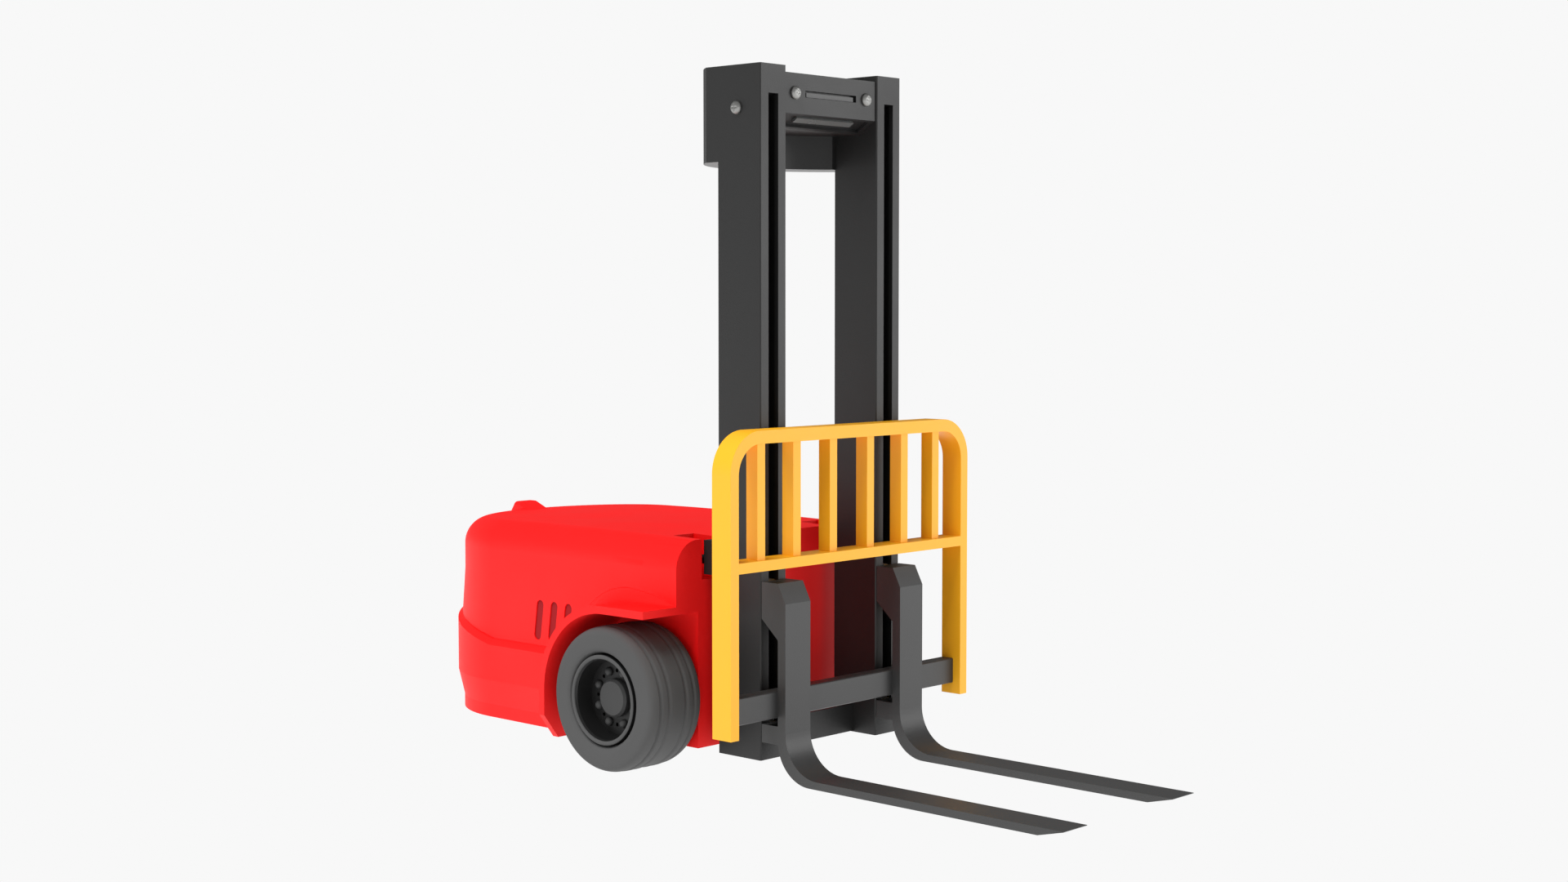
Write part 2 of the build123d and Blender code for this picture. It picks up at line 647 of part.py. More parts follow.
def vent_cutters(side, x0, x1, grow):
    """Three leaning round-ended slots in one side."""
    cutters = []
    for i in range(3):
        slot = Pos(VENT_Y - i * VENT_PITCH, VENT_Z) * Rot(0, 0, VENT_LEAN) * SlotOverall(
            VENT_LENGTH + 2 * grow, VENT_WIDTH + 2 * grow, rotation=90
        )
        cutters.append(side_slab(slot, *mirrored(x0, x1, side)))
    return cutters


def notch_x(side):
    return mirrored(NOTCH_OUTER_X, NOTCH_OUTER_X - NOTCH_WIDTH, side)


def hood():
    """Red hood shell with vent slots and a walled notch behind each column."""
    outer = hood_form(0)
    shell = outer - hood_form(BODY_WALL)
    notch_z0 = HOOD_FRONT_Z - NOTCH_DEPTH
    y1 = BODY_FRONT_Y + NOTCH_LENGTH
    for side in SIDES.values():
        x0, x1 = notch_x(side)
        z0, z1 = notch_z0 - NOTCH_WALL, HOOD_FRONT_Z + 5
        walls = block(x0 - NOTCH_WALL, x1 + NOTCH_WALL, BODY_FRONT_Y, y1 + NOTCH_WALL, z0, z1)
        shell += walls & outer
    for side in SIDES.values():
        x0, x1 = notch_x(side)
        shell -= block(x0, x1, BODY_FRONT_Y - 1, y1, notch_z0, HOOD_FRONT_Z + 5)
        rod_x_mid = sum(bracket_x(side)) / 2
        rod_z_mid = HOOD_FRONT_Z - BRACKET_TOP_GAP - ROD_DROP
        half = ROD_RADIUS + 0.3
        shell -= block(
            rod_x_mid - half, rod_x_mid + half, y1 - 1, y1 + NOTCH_WALL + 1, rod_z_mid - 2.9, rod_z_mid + 2.8
        )
        for cutter in vent_cutters(side, HALF_HOOD - BODY_WALL - 1, HALF_HOOD + 1, 0):
            shell -= cutter
    shell -= arch_space(ARCH_RADIUS + FENDER_THICKNESS, -80, 80)
    return shell - below_hood()


def vent_panel(side):
    """Dark red panel behind the vent slots, with raised pads that sit in them."""
    y_mid = VENT_Y - VENT_PITCH
    x_in = HALF_HOOD - BODY_WALL
    plate = block(*mirrored(x_in - 1.0, x_in, side), y_mid - 11.5, y_mid + 11.5, VENT_Z - 9.0, VENT_Z + 9.0)
    for pad in vent_cutters(side, x_in - 0.5, HALF_HOOD - VENT_RECESS, -MATING):
        plate += pad
    return plate - arch_space(ARCH_RADIUS + FENDER_THICKNESS, -80, 80) - below_hood()


VENT_RECESS = 0.4


def tail_form(inset, front_y, z0, z1):
    """Solid inside the tail's outline: a narrower foot, a taper and an upright wall above it."""
    half, tail = HALF_BUMPER - inset, BUMPER_TAIL - inset
    foot = tail_plan(half - BUMPER_FOOT_INSET, tail - BUMPER_FOOT_TAPER, front_y)
    waist = tail_plan(half, tail, front_y)
    foot_z, waist_z = BODY_FLOOR_Z + BUMPER_FOOT_HEIGHT, BODY_FLOOR_Z + BUMPER_FOOT_RISE
    form = extrude(Pos(0, 0, z0) * foot, foot_z - z0)
    form += loft([Pos(0, 0, foot_z) * foot, Pos(0, 0, waist_z) * waist], ruled=True)
    return form + extrude(Pos(0, 0, waist_z) * waist, z1 - waist_z)


BOSS_RADIUS = 3.0
BOSS_TOP_Z = 22.0
RIB_WIDTH = 1.6
BASE_SCREW_SHANK = 1.0
BASE_SCREW_HEAD = 2.2
BASE_SCREW_HEAD_HEIGHT = 1.1
BASE_SCREWS = [(s * x, y) for s in (-1, 1) for x, y in ((28.6, 28.6), (38.0, 84.0), (35.0, 121.0))]
OUTER_ARCH = ARCH_RADIUS + FENDER_THICKNESS


def lower_body():
    """Red lower body: a box between the front wheels and the wide counterweight tail behind them."""
    z0, z1 = BODY_FLOOR_Z, HOOD_FRONT_Z
    over_arch = arch_space(OUTER_ARCH, -80, 80)
    box = block(-HALF_BOX, HALF_BOX, BODY_FRONT_Y, ARCH_REAR_Y + 3, z0, FENDER_TOP_Z)
    outer = (box & over_arch) + (outer_tail() - over_arch)
    half = HALF_BOX - BODY_WALL
    hollow = block(-half, half, BODY_FRONT_Y + BODY_WALL, ARCH_REAR_Y + 10, z0 - 1, FENDER_TOP_Z + 1)
    hollow += tail_form(BODY_WALL, ARCH_REAR_Y + BODY_WALL, z0, z1)
    rim_zone = below_hood() - Pos(0, 0, -BODY_WALL) * below_hood()
    rim_front = ARCH_REAR_Y + BODY_WALL
    rim = tail_form(LEDGE_WIDTH, rim_front - 0.5, z0, z1)
    rim -= tail_form(LEDGE_RIM, rim_front + 2, z0, z1 + 1)
    rim = (rim & rim_zone) - block(-half, half, 0, ARCH_REAR_Y + 10, 0, 80)
    shell = (outer - hollow) + rim
    for x, y in BASE_SCREWS:
        boss_z0 = z0 + BASE_THICKNESS
        boss = rod_z(BOSS_RADIUS, boss_z0, BOSS_TOP_Z, x, y)
        rib = block(*sorted((x, x * 1.3)), y - RIB_WIDTH / 2, y + RIB_WIDTH / 2, boss_z0, BOSS_TOP_Z - 3)
        shell += (boss + rib) & outer
    for x, y in BASE_SCREWS:
        shell -= rod_z(BASE_SCREW_SHANK, z0, BOSS_TOP_Z - 2, x, y)
    return shell - rod_x(AXLE_RADIUS + MATING, -HALF_BOX - 1, HALF_BOX + 1, WHEEL_Y, WHEEL_RADIUS)


def fender(side):
    """Arched mudguard, flat in front, with its lower outer corner cut away."""
    x0, x1 = HALF_BOX, TYRE_OUTER_X
    span = mirrored(x0, x1, side)
    arch = arch_space(OUTER_ARCH, *span) - arch_space(ARCH_RADIUS, -80, 80)
    arch = arch & block(*span, BODY_FRONT_Y, ARCH_REAR_Y, BODY_FLOOR_Z, FENDER_TOP_Z)
    y0, y1 = ARCH_REAR_Y - 10, ARCH_REAR_Y + 1
    corner = [(x1 - 5.5, BODY_FLOOR_Z - 1), (x1 - 5.5, BODY_FLOOR_Z), (x1, BODY_FLOOR_Z + 7.4)]
    corner += [(x1 + 1, BODY_FLOOR_Z + 7.4), (x1 + 1, BODY_FLOOR_Z - 1)]
    points = [(side * x, z) for x, z in corner]
    cut = extrude(Plane.XZ.offset(-y1) * make_face(Polyline(*points, close=True)), y1 - y0)
    return arch - cut


def hood_scoop():
    """Raised cap at the rear of the hood: a long slope, a rounded crest and a steep back."""
    y0, y1 = SCOOP_REAR_Y - SCOOP_LENGTH, SCOOP_REAR_Y
    top, sunk = HOOD_FRONT_Z + SCOOP_HEIGHT, HOOD_FRONT_Z - 8
    profile = outline_yz(
        (y0, sunk), (y0, HOOD_FRONT_Z - 0.6), (y1 - 5.5, top), (y1 - 2.2, top), (y1, HOOD_FRONT_Z - 1), (y1, sunk)
    )
    wedge = side_slab(profile, -SCOOP_WIDTH / 2, SCOOP_WIDTH / 2)
    wedge = fillet([e for e in wedge.edges() if e.center().Z > HOOD_FRONT_Z + 0.2], SCOOP_ROUNDING)
    return wedge - hood_form(0)


def base_plate():
    """Black bottom plate with a round opening for the swivel wheel."""
    z0, z1 = BODY_FLOOR_Z, BODY_FLOOR_Z + BASE_THICKNESS
    gap = BODY_WALL + 0.1
    half = HALF_BOX - gap
    plate = block(-half, half, BODY_FRONT_Y + gap, ARCH_REAR_Y + 10, z0, z1)
    plan = tail_plan(
        HALF_BUMPER - BUMPER_FOOT_INSET - gap, BUMPER_TAIL - BUMPER_FOOT_TAPER - gap, ARCH_REAR_Y + gap
    )
    plate += extrude(Pos(0, 0, z0) * plan, z1 - z0)
    plate -= rod_z(WELL_RADIUS, z0 - 1, z1 + 1, 0, SWIVEL_Y)
    for x, y in BASE_SCREWS:
        plate -= rod_z(BASE_SCREW_SHANK, z0 - 1, z1 + 1, x, y)
        plate -= rod_z(BASE_SCREW_HEAD + 0.2, z0 - 1, z0 + BASE_SCREW_HEAD_HEIGHT, x, y)
    return plate


def base_screws():
    """Six screws from below, through the base plate into the body's bosses."""
    screws = []
    z0 = BODY_FLOOR_Z
    for x, y in BASE_SCREWS:
        head = rod_z(BASE_SCREW_HEAD, z0 + 0.1, z0 + BASE_SCREW_HEAD_HEIGHT, x, y)
        shank = rod_z(BASE_SCREW_SHANK - 0.02, z0 + BASE_SCREW_HEAD_HEIGHT, BOSS_TOP_Z - 2.5, x, y)
        screws.append(head + shank)
    return screws


WELL_RADIUS = 22.5
WELL_WALL = 1.8
WELL_TOP_Z = 26.8
KINGPIN_RADIUS = 2.5
KINGPIN_BOSS_RADIUS = 5.0
KINGPIN_BOSS_Z = 33.0
END_PLAY = 0.3


def ballast_block():
    """Steel block that keeps the rear wheel on the floor under load."""
    z0 = BODY_FLOOR_Z + BASE_THICKNESS
    block_y1 = SWIVEL_Y - WELL_RADIUS - WELL_WALL - 1.2
    return chamfer(block(-28, 28, ARCH_REAR_Y + 3.5, block_y1, z0, z0 + 21).edges().filter_by(Axis.Z), 1.0)


def swivel_housing():
    """Round cup over the rear wheel with the bearing boss of the swivel on its roof."""
    z0 = BODY_FLOOR_Z + BASE_THICKNESS
    cup = rod_z(WELL_RADIUS + WELL_WALL, z0, WELL_TOP_Z, 0, SWIVEL_Y)
    cup -= rod_z(WELL_RADIUS, z0 - 1, WELL_TOP_Z - WELL_WALL, 0, SWIVEL_Y)
    cup += rod_z(KINGPIN_BOSS_RADIUS, WELL_TOP_Z - WELL_WALL, KINGPIN_BOSS_Z, 0, SWIVEL_Y)
    return cup - rod_z(KINGPIN_RADIUS + RUNNING, 0, KINGPIN_BOSS_Z + 1, 0, SWIVEL_Y)


LUG_GAP = 0.4
LUG_WIDTH = 4.0
PIN_HEAD_RADIUS = 2.2


def mast_pivot_bracket():
    """Bracket on the body's front with two lugs that hold the mast's pivot pin."""
    x1 = EAR_INNER_X - LUG_GAP
    bracket = block(-x1, x1, BODY_FRONT_Y - 1.5, BODY_FRONT_Y, BODY_FLOOR_Z + 0.1, TILT_PIVOT_Z + 7)
    for side in SIDES.values():
        lug_x0, lug_x1 = mirrored(x1 - LUG_WIDTH, x1, side)
        bracket += rod_x(EAR_RADIUS, lug_x0, lug_x1, TILT_PIVOT_Y, TILT_PIVOT_Z)
        z0, z1 = TILT_PIVOT_Z - EAR_RADIUS, TILT_PIVOT_Z + EAR_RADIUS
        bracket += block(lug_x0, lug_x1, TILT_PIVOT_Y, BODY_FRONT_Y, z0, z1)
    return bracket - rod_x(PIN_RADIUS, -x1 - 1, x1 + 1, TILT_PIVOT_Y, TILT_PIVOT_Z)


def mast_pivot_pin():
    """Pin through the bracket's lugs and the tie's ears, with a head at each end."""
    head_x = EAR_INNER_X + EAR_WIDTH + LUG_GAP
    pin = rod_x(PIN_RADIUS, -head_x, head_x, TILT_PIVOT_Y, TILT_PIVOT_Z)
    for side in SIDES.values():
        pin += rod_x(PIN_HEAD_RADIUS, *mirrored(head_x, head_x + 1.2, side), TILT_PIVOT_Y, TILT_PIVOT_Z)
    return pin


# ---- front wheels ----
AXLE_END_X = WEB_X + 1.25
HUB_INNER_X = HALF_BOX + 0.4
HUB_RADIUS = 4.0
WEB_THICKNESS = 3.0
PUSH_NUT_RADIUS = 3.0
SHOULDER = 3.0


def front_axle():
    return rod_x(AXLE_RADIUS, -AXLE_END_X, AXLE_END_X, WHEEL_Y, WHEEL_RADIUS)


def axle_push_nuts():
    """Spring caps pressed on the axle's ends, hidden under the hub caps."""
    nuts = []
    for side in SIDES.values():
        x0, x1 = mirrored(WEB_X + END_PLAY, WEB_X + END_PLAY + 0.7, side)
        ring = rod_x(PUSH_NUT_RADIUS, x0, x1, WHEEL_Y, WHEEL_RADIUS)
        nuts.append(ring - rod_x(AXLE_RADIUS, x0 - 1, x1 + 1, WHEEL_Y, WHEEL_RADIUS))
    return nuts


def on_axle(shape, side):
    """Takes a solid spun about the x axis at x > 0 to the wheel's place on one side."""
    if side < 0:
        shape = mirror(shape, Plane.YZ)
    return Pos(0, WHEEL_Y, WHEEL_RADIUS) * shape


def tyre(side):
    """Wide rubber tyre with rounded shoulders and grooves round the tread."""
    x0, x1 = TYRE_INNER_X, TYRE_OUTER_X
    profile = make_face(
        Polyline((x0, RIM_RADIUS), (x1, RIM_RADIUS), (x1, WHEEL_RADIUS), (x0, WHEEL_RADIUS), close=True)
    )
    profile = fillet(profile.vertices().sort_by(Axis.Y)[-2:], SHOULDER)
    pitch = (TYRE_WIDTH - 2 * SHOULDER) / TREAD_GROOVES
    for i in range(TREAD_GROOVES):
        x = x0 + SHOULDER + pitch * (i + 0.5)
        r = WHEEL_RADIUS + 0.1
        groove = Polyline((x - 0.65, r), (x + 0.65, r), (x, WHEEL_RADIUS - 0.7), close=True)
        profile -= make_face(groove)
    return on_axle(spun(profile), side)


def rim(side):
    """Dished rim: barrel, web and hub tube in one piece, with eight small holes in the web."""
    x0, x1 = TYRE_INNER_X, TYRE_OUTER_X - 0.4
    web_x0 = WEB_X - WEB_THICKNESS
    bore = AXLE_RADIUS + RUNNING
    profile = make_face(
        Polyline(
            (HUB_INNER_X, bore),
            (WEB_X, bore),
            (WEB_X, RIM_OPENING - 0.6),
            (x1 - 0.8, RIM_OPENING),
            (x1, RIM_OPENING + 0.5),
            (x1, RIM_RADIUS),
            (x0, RIM_RADIUS),
            (x0, RIM_OPENING - 0.6),
            (web_x0, RIM_OPENING - 0.6),
            (web_x0, HUB_RADIUS),
            (HUB_INNER_X, HUB_RADIUS),
            close=True,
        )
    )
    body = spun(profile)
    for i in range(NUT_COUNT):
        body -= Rot(360 / NUT_COUNT * i, 0, 0) * rod_x(0.6, web_x0 - 1, WEB_X + 1, 0, NUT_CIRCLE)
    return on_axle(body, side)


def hub_cap(side):
    """Round cap on the web, hollow over the axle's end."""
    x1 = WEB_X + HUB_CAP_HEIGHT
    cap = rod_x(HUB_CAP_RADIUS, WEB_X, x1, 0, 0)
    cap = chamfer(cap.faces().sort_by(Axis.X)[-1].edges(), 0.7)
    cap -= rod_x(PUSH_NUT_RADIUS + 0.5, WEB_X - 1, x1 - 0.6, 0, 0)
    return on_axle(cap, side)


def lug_nuts(side):
    """Eight hexagon nuts round the hub cap."""
    nuts = []
    for i in range(NUT_COUNT):
        nut = extrude(Plane.YZ.offset(WEB_X) * (Pos(0, NUT_CIRCLE) * RegularPolygon(NUT_RADIUS, 6)), 1.0)
        nuts.append(on_axle(Rot(360 / NUT_COUNT * (i + 0.5), 0, 0) * nut, side))
    return nuts


# ---- rear swivel wheel ----
REAR_AXLE_Y = SWIVEL_Y + SWIVEL_TRAIL
REAR_WHEEL_X = YOKE_WIDTH / 2 + 0.4
REAR_PIN_X = REAR_WHEEL_X + REAR_WHEEL_WIDTH + END_PLAY
REAR_HUB_RADIUS = 8.2
CROWN_RADIUS = 9.0
CROWN_Z = WELL_TOP_Z - WELL_WALL - END_PLAY
CROWN_THICKNESS = 2.0
YOKE_BOSS = 3.2


def steer_yoke():
    """Swivel leg: stem, crown disc and a central web that carries the axle pin behind the swivel."""
    x0, x1 = -YOKE_WIDTH / 2, YOKE_WIDTH / 2
    crown = rod_z(CROWN_RADIUS, CROWN_Z - CROWN_THICKNESS, CROWN_Z, 0, SWIVEL_Y)
    stem = rod_z(KINGPIN_RADIUS, CROWN_Z - 0.5, KINGPIN_BOSS_Z + END_PLAY, 0, SWIVEL_Y)
    web = side_slab(
        outline_yz(
            (SWIVEL_Y - 7, CROWN_Z - 1),
            (SWIVEL_Y + 8.5, CROWN_Z - 1),
            (REAR_AXLE_Y + YOKE_BOSS, REAR_WHEEL_RADIUS),
            (REAR_AXLE_Y - YOKE_BOSS, REAR_WHEEL_RADIUS - 1),
        ),
        x0,
        x1,
    )
    web += rod_x(YOKE_BOSS, x0, x1, REAR_AXLE_Y, REAR_WHEEL_RADIUS)
    body = crown + stem + web
    body -= rod_x(REAR_AXLE_RADIUS, x0 - 1, x1 + 1, REAR_AXLE_Y, REAR_WHEEL_RADIUS)
    return body - rod_z(1.0, CROWN_Z + 2, KINGPIN_BOSS_Z + 2, 0, SWIVEL_Y)


def kingpin_washer():
    z0 = KINGPIN_BOSS_Z + END_PLAY
    return rod_z(4.4, z0, z0 + 0.8, 0, SWIVEL_Y) - rod_z(1.1, z0 - 1, z0 + 2, 0, SWIVEL_Y)


def kingpin_screw():
    z0 = KINGPIN_BOSS_Z + END_PLAY + 0.8
    head = Pos(0, SWIVEL_Y, z0) * domed_head(2.4, 1.4)
    return head + rod_z(0.98, CROWN_Z + 2.5, z0, 0, SWIVEL_Y)


def rear_axle_pin():
    """Pin pressed through the yoke's web, with a head outside each wheel."""
    pin = rod_x(REAR_AXLE_RADIUS, -REAR_PIN_X, REAR_PIN_X, REAR_AXLE_Y, REAR_WHEEL_RADIUS)
    for side in SIDES.values():
        x0, x1 = mirrored(REAR_PIN_X, REAR_PIN_X + 0.8, side)
        pin += rod_x(2.2, x0, x1, REAR_AXLE_Y, REAR_WHEEL_RADIUS)
    return pin


def rear_hub(side):
    x0, x1 = mirrored(REAR_WHEEL_X, REAR_WHEEL_X + REAR_WHEEL_WIDTH, side)
    hub = rod_x(REAR_HUB_RADIUS, x0, x1, REAR_AXLE_Y, REAR_WHEEL_RADIUS)
    return hub - rod_x(REAR_AXLE_RADIUS + RUNNING, x0 - 1, x1 + 1, REAR_AXLE_Y, REAR_WHEEL_RADIUS)


def rear_tyre(side):
    x0, x1 = mirrored(REAR_WHEEL_X, REAR_WHEEL_X + REAR_WHEEL_WIDTH, side)
    ring = rod_x(REAR_WHEEL_RADIUS, x0, x1, REAR_AXLE_Y, REAR_WHEEL_RADIUS)
    ring = fillet(ring.edges(), 1.0)
    return ring - rod_x(REAR_HUB_RADIUS, x0 - 1, x1 + 1, REAR_AXLE_Y, REAR_WHEEL_RADIUS)


# ---- assembly ----
def add(name, shape):
    """Keeps a sub-part; a list becomes a group of separate solids."""
    if isinstance(shape, list):
        shape = Compound([solid for piece in shape for solid in piece.solids()])
    parts[name] = shape


for name, maker in (
    ("top_beam", top_beam),
    ("beam_inlay", beam_inlay),
    ("work_light_lens", work_light_lens),
    ("beam_screws", beam_screws),
    ("side_screws", side_screws),
    ("mast_head_cover", mast_head_cover),
    ("mast_head_lid", mast_head_lid),
    ("bottom_tie", bottom_tie),
    ("tilt_stop_rings", tilt_stop_rings),
    ("carriage_bar", carriage_bar),
    ("load_backrest", load_backrest),
    ("fork_screws", fork_screws),
    ("lower_body", lower_body),
    ("hood", hood),
    ("hood_scoop", hood_scoop),
    ("base_plate", base_plate),
    ("base_screws", base_screws),
    ("ballast_block", ballast_block),
    ("swivel_housing", swivel_housing),
    ("mast_pivot_bracket", mast_pivot_bracket),
    ("mast_pivot_pin", mast_pivot_pin),
    ("front_axle", front_axle),
    ("axle_push_nuts", axle_push_nuts),
    ("steer_yoke", steer_yoke),
    ("kingpin_washer", kingpin_washer),
    ("kingpin_screw", kingpin_screw),
    ("rear_axle_pin", rear_axle_pin),
):
    add(name, maker())

for side_name, side in SIDES.items():
    for name, maker in (
        ("mast_column", mast_column),
        ("tilt_bracket", tilt_bracket),
        ("tilt_rod", tilt_rod),
        ("fork", fork),
        ("guide_shoes", guide_shoes),
        ("vent_panel", vent_panel),
        ("fender", fender),
        ("tyre", tyre),
        ("rim", rim),
        ("hub_cap", hub_cap),
        ("lug_nuts", lug_nuts),
        ("rear_hub", rear_hub),
        ("rear_tyre", rear_tyre),
    ):
        add(f"{name}_{side_name}", maker(side))

centre_y = (TAIL_CENTRE_Y + BUMPER_TAIL - FORK_REACH) / 2
os.makedirs("parts", exist_ok=True)
for name, shape in parts.items():
    placed = Pos(0, -centre_y, 0) * shape
    export_step(placed, f"parts/{name}.step")
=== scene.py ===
import math

import bmesh
import bpy
import numpy as np
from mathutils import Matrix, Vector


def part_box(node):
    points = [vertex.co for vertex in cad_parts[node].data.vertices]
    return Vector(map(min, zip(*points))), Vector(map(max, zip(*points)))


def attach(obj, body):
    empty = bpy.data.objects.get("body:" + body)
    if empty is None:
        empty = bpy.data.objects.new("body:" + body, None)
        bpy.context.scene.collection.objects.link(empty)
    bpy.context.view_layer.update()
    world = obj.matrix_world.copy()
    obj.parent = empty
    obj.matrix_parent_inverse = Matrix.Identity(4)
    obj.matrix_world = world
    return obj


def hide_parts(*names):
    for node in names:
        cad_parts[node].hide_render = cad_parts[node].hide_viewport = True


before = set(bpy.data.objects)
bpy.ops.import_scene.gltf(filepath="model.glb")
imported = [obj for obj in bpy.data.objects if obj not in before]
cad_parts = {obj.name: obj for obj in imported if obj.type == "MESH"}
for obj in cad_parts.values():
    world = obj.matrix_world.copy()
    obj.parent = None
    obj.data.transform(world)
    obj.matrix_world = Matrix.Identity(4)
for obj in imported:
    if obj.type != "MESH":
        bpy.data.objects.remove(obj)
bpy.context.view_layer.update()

# ---- Studio -----------------------------------------------------------------
# A toy this size is shown on a seamless sheet of white paper, lit so evenly that
# floor and background run together: a large soft key high on its right-hand side,
# a soft panel ahead of it on the left and weak light from everywhere else.


def linear(hex_colour):
    """sRGB hex to linear RGBA: c/12.92 up to 0.04045, else ((c + 0.055)/1.055) to the power 2.4."""
    srgb = np.array([int(hex_colour[i:i + 2], 16) for i in (1, 3, 5)]) / 255
    light = np.where(srgb <= 0.04045, srgb / 12.92, ((srgb + 0.055) / 1.055) ** 2.4)
    return (*light.tolist(), 1.0)


def node(tree, kind, settings, **inputs):
    """Adds a node, sets its attributes from settings, and sets or links its inputs.

    An input is given by its name, with _ for a space, or by its number as i0, i1."""
    made = tree.nodes.new("ShaderNode" + kind)
    for key, value in settings.items():
        setattr(made, key, value)
    for key, value in inputs.items():
        index = key[0] == "i" and key[1:].isdigit()
        socket = made.inputs[int(key[1:]) if index else key.replace("_", " ")]
        if isinstance(value, bpy.types.NodeSocket):
            tree.links.new(value, socket)
        else:
            socket.default_value = value
    return made


WHITE_PAPER = "#f8f8f8"
ROOM_BRIGHT = 0.5
ROOM_DIM = 0.2
ROOM_FADE_START, ROOM_FADE_END = -0.3, 0.5
FLOOR_LIGHT = 1.4
FLOOR_SIZE = 60.0
FLOOR_LINES = 5

world = bpy.data.worlds.new("white_room")
world.use_nodes = True
bpy.context.scene.world = world
bpy.context.scene.view_settings.view_transform = "Standard"
tree = world.node_tree
# The room is dimmer on the left, towards +X, which keeps the top of the hood deep in colour.
sky = node(tree, "TexCoord", {}).outputs["Generated"]
across = node(tree, "SeparateXYZ", {}, Vector=sky).outputs["X"]
dim = node(
    tree, "MapRange", {}, Value=across, From_Min=ROOM_FADE_START, From_Max=ROOM_FADE_END,
    To_Min=ROOM_BRIGHT, To_Max=ROOM_DIM,
).outputs["Result"]
seen = node(tree, "LightPath", {}).outputs["Is Camera Ray"]
level = node(tree, "Mix", {"data_type": "FLOAT"}, i0=seen, i2=dim, i3=1.0).outputs[0]
room = tree.nodes["Background"]
room.inputs["Color"].default_value = linear(WHITE_PAPER)
tree.links.new(level, room.inputs["Strength"])


def mesh_of_grid(name, points, wrap_u=False, wrap_v=False):
    """Mesh over a grid of points[u, v]: each cell is one quad; a wrapped way closes on itself."""
    count_u, count_v = points.shape[:2]
    cells_u = np.arange(count_u if wrap_u else count_u - 1)
    cells_v = np.arange(count_v if wrap_v else count_v - 1)
    u, v = np.meshgrid(cells_u, cells_v, indexing="ij")
    u1, v1 = (u + 1) % count_u, (v + 1) % count_v
    corners = [u * count_v + v, u1 * count_v + v, u1 * count_v + v1, u * count_v + v1]
    quads = np.stack(corners, -1).reshape(-1, 4)
    mesh = bpy.data.meshes.new(name)
    mesh.from_pydata(points.reshape(-1, 3).tolist(), [], quads.tolist())
    mesh.polygons.foreach_set("use_smooth", np.ones(len(mesh.polygons), bool))
    return mesh


def in_scene(name, data):
    """An object of this name that shows the mesh, lamp or camera, linked into the scene."""
    made = bpy.data.objects.new(name, data)
    bpy.context.scene.collection.objects.link(made)
    return made


line = np.linspace(-FLOOR_SIZE, FLOOR_SIZE, FLOOR_LINES)
x, y = np.meshgrid(line, line, indexing="ij")
floor = in_scene("paper_floor", mesh_of_grid("paper_floor", np.stack([x, y, 0 * x], -1)))
paper = bpy.data.materials.new("matt_white_paper")
paper.use_nodes = True
tree = paper.node_tree
shader = tree.nodes["Principled BSDF"]
shader.inputs["Base Color"].default_value = (0, 0, 0, 1)
shader.inputs["Roughness"].default_value = 1.0
shader.inputs["Specular IOR Level"].default_value = 0.0
shader.inputs["Emission Color"].default_value = linear(WHITE_PAPER)
seen = node(tree, "LightPath", {}).outputs["Is Camera Ray"]
level = node(tree, "MapRange", {}, Value=seen, To_Min=FLOOR_LIGHT, To_Max=1.0).outputs["Result"]
tree.links.new(level, shader.inputs["Emission Strength"])
floor.data.materials.append(paper)


def soft_panel(name, place, target, size, watts, mirrored):
    """Square light panel at place, facing target; glossy skins reflect it if mirrored."""
    lamp = bpy.data.lights.new(name, "AREA")
    lamp.size = size
    lamp.energy = watts
    panel = in_scene(name, lamp)
    way = np.array(target) - np.array(place)
    panel.location = place
    panel.rotation_euler = (
        0, -math.acos(-way[2] / np.linalg.norm(way)), math.atan2(way[1], way[0])
    )
    panel.visible_glossy = mirrored
    panel.visible_camera = False


soft_panel(
    "key_panel", place=(-0.95, 0.1, 1.75), target=(0, 0, 0.07), size=1.1, watts=36, mirrored=False
)
soft_panel(
    "front_panel", place=(1.3, -1.7, 0.2), target=(0, 0, 0.1), size=1.8, watts=32, mirrored=True
)

# The camera stands two thirds of the way up the mast, ahead of it and off its right-hand
# side, and looks slightly down. Its place is in metres from the object's middle across
# and from the right column's front foot along and up; its angles are in degrees.
SENSOR_MM = 36.0
LENS_MM = 50.1
NEAREST = 0.01
CAMERA_FROM_MAST_FOOT = (-0.48297, -0.42857, 0.13184)
CAMERA_DIP = 3.609
CAMERA_TURN = -47.149
MAST_FRONT_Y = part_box("mast_column_right")[0].y
MAST_FOOT_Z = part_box("mast_column_right")[0].z
camera = in_scene("camera", bpy.data.cameras.new("camera"))
camera.data.sensor_width = SENSOR_MM
camera.data.lens = LENS_MM
camera.data.clip_start = NEAREST
camera.location = (
    CAMERA_FROM_MAST_FOOT[0],
    MAST_FRONT_Y + CAMERA_FROM_MAST_FOOT[1],
    MAST_FOOT_Z + CAMERA_FROM_MAST_FOOT[2],
)
camera.rotation_euler = (math.radians(90 - CAMERA_DIP), 0, math.radians(CAMERA_TURN))
bpy.context.scene.camera = camera

# ---- Lower body, fenders, hood and scoop ------------------------------------
# The red shells are injection-moulded ABS. The hood drops over the lower body, and a
# fender stands out from each side over the front wheel. The mould is spark-eroded to a
# fine satin grain, so the colour stays deep and even, with no sharp reflections.
FLOW_SCALE = 30.0
GLOSS_DRIFT = 0.04
GRAIN_DEPTH = 0.0001


